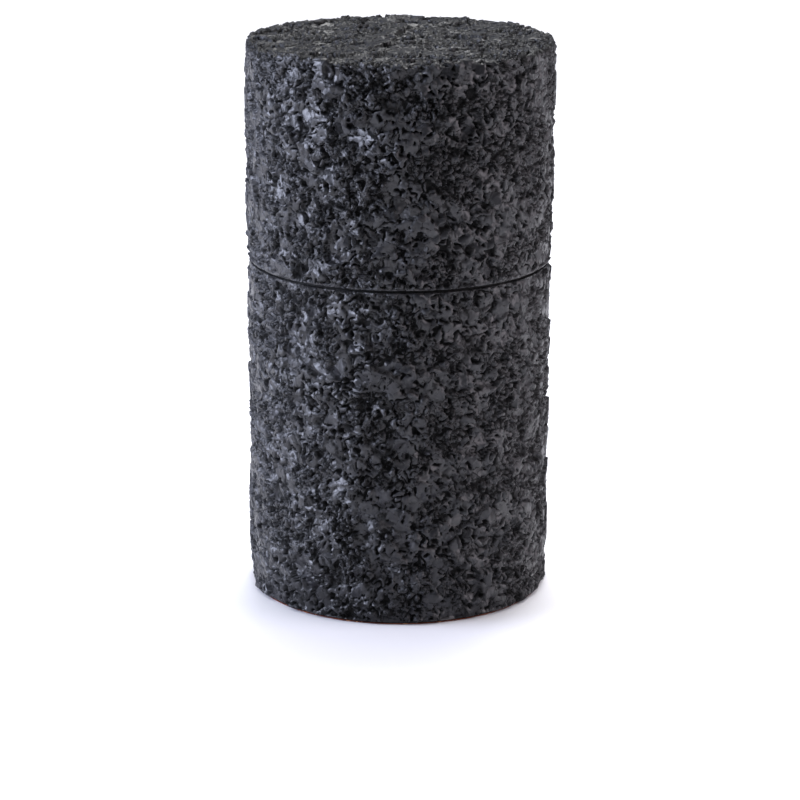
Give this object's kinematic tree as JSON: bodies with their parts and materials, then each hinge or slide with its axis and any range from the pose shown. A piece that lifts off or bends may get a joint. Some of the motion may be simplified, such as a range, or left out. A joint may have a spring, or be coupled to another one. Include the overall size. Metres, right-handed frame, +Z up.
{
  "type": "tea caddy",
  "caption": "Tall round tea caddy wrapped in rough matte black bark, with a deep lift-off lid over a collar and a knobbed inner lid.",
  "frame": {"origin": "centre of the underside, on the surface that the caddy stands on", "axes": "+Z up along the axis that every piece is turned or wound about; -Y is the front, and the bark's joint is at the back, +Y"},
  "size_m": [0.092, 0.092, 0.17],
  "materials": {
    "rough_black_bark": "matte black lacquer over rough cherry bark",
    "polished_bark": "ironed and polished cherry bark, satin gloss, fine horizontal lenticels",
    "wound_veneer": "wound veneer, plain edge",
    "board_wood": "sanded board",
    "turned_wood": "turned cherry wood, oiled",
    "bamboo": "bamboo dowel"
  },
  "bodies": {
    "canister": {"body_bark": "rough_black_bark", "body_shell": "wound_veneer", "inner_tube": "wound_veneer", "collar_bark": "polished_bark", "chamber_lining": "polished_bark", "chamber_floor_bark": "polished_bark", "base_board": "board_wood", "base_bark": "polished_bark"},
    "inner_lid": {"inner_lid_board": "turned_wood", "inner_lid_top_bark": "polished_bark", "inner_lid_under_bark": "polished_bark", "inner_lid_knob": "turned_wood", "knob_peg": "bamboo"},
    "lid": {"lid_side_bark": "rough_black_bark", "lid_shell": "wound_veneer", "lid_lining": "polished_bark", "lid_top_board": "board_wood", "lid_top_bark": "rough_black_bark", "lid_ceiling_bark": "polished_bark"}
  },
  "joints": [
    {"name": "inner_lid_lift", "type": "slide", "parent": "canister", "child": "inner_lid", "axis": [0, 0, 1], "range_m": [0, 0.085]},
    {"name": "lid_lift", "type": "slide", "parent": "inner_lid", "child": "lid", "axis": [0, 0, 1], "range_m": [0, 0.075]}
  ]
}
